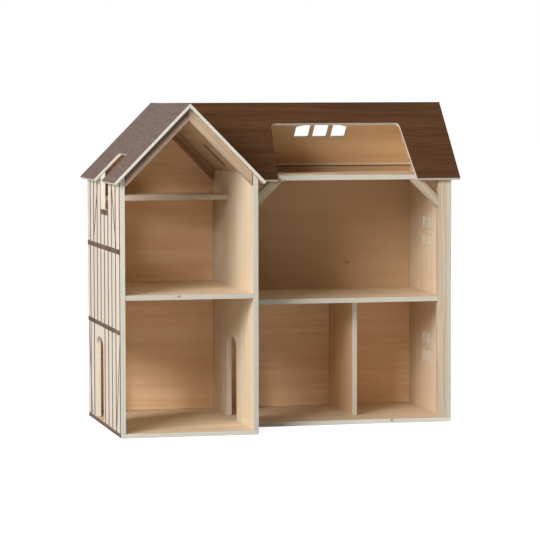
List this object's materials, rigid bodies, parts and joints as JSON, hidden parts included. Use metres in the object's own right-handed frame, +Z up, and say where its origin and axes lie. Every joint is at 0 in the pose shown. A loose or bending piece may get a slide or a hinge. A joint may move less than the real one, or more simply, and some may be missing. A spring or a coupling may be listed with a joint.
{
  "type": "wooden dollhouse",
  "caption": "Open-fronted wooden dollhouse of plywood boards: a gabled wing and a set-back main body under dark roofs, with doorways, windows and an open attic.",
  "frame": {"origin": "centre of the bounding box on the plane the house stands on", "axes": "+X towards the main body's free end, +Y from the open front to the back, +Z up"},
  "size_m": [0.76, 0.443, 0.6761],
  "materials": {
    "plywood": "pale birch plywood, sanded, clear matt finish; the left wall painted with brown bands and stripes",
    "stained_roof": "dark brown stain on plywood, matt with a slight sheen, pale edges",
    "dowel": "plain beech"
  },
  "bodies": {
    "root": {"attic_floor": "plywood", "brace_left": "plywood", "brace_right": "plywood", "dowel_attic_right_back": "dowel", "dowel_attic_right_front": "dowel", "dowel_left_wall_back": "dowel", "dowel_left_wall_front": "dowel", "dowel_loft_left_back": "dowel", "dowel_loft_left_front": "dowel", "dowel_loft_right_back": "dowel", "dowel_loft_right_front": "dowel", "dowel_main_floor_left_back": "dowel", "dowel_main_floor_left_front": "dowel", "dowel_main_floor_right_back": "dowel", "dowel_main_floor_right_front": "dowel", "dowel_middle_wall_back": "dowel", "dowel_middle_wall_front": "dowel", "dowel_partition_foot_back": "dowel", "dowel_partition_foot_front": "dowel", "dowel_partition_head_back": "dowel", "dowel_partition_head_front": "dowel", "dowel_post_left_foot_mid": "dowel", "dowel_post_left_head_mid": "dowel", "dowel_post_right_foot_mid": "dowel", "dowel_post_right_head_mid": "dowel", "dowel_right_wall_back": "dowel", "dowel_right_wall_front": "dowel", "dowel_wing_floor_left_back": "dowel", "dowel_wing_floor_left_front": "dowel", "dowel_wing_floor_right_back": "dowel", "dowel_wing_floor_right_front": "dowel", "main_back_panel": "plywood", "main_base": "plywood", "main_first_floor": "plywood", "main_partition": "plywood", "main_right_wall": "plywood", "main_roof_back": "stained_roof", "main_roof_front": "stained_roof", "post_left": "plywood", "post_right": "plywood", "rafter_back_left": "plywood", "rafter_back_right": "plywood", "rafter_front_left": "plywood", "rafter_front_right": "plywood", "wing_back_panel": "plywood", "wing_base": "plywood", "wing_first_floor": "plywood", "wing_left_wall": "plywood", "wing_loft_shelf": "plywood", "wing_right_wall": "plywood", "wing_roof_left": "stained_roof", "wing_roof_right": "stained_roof"}
  },
  "joints": []
}
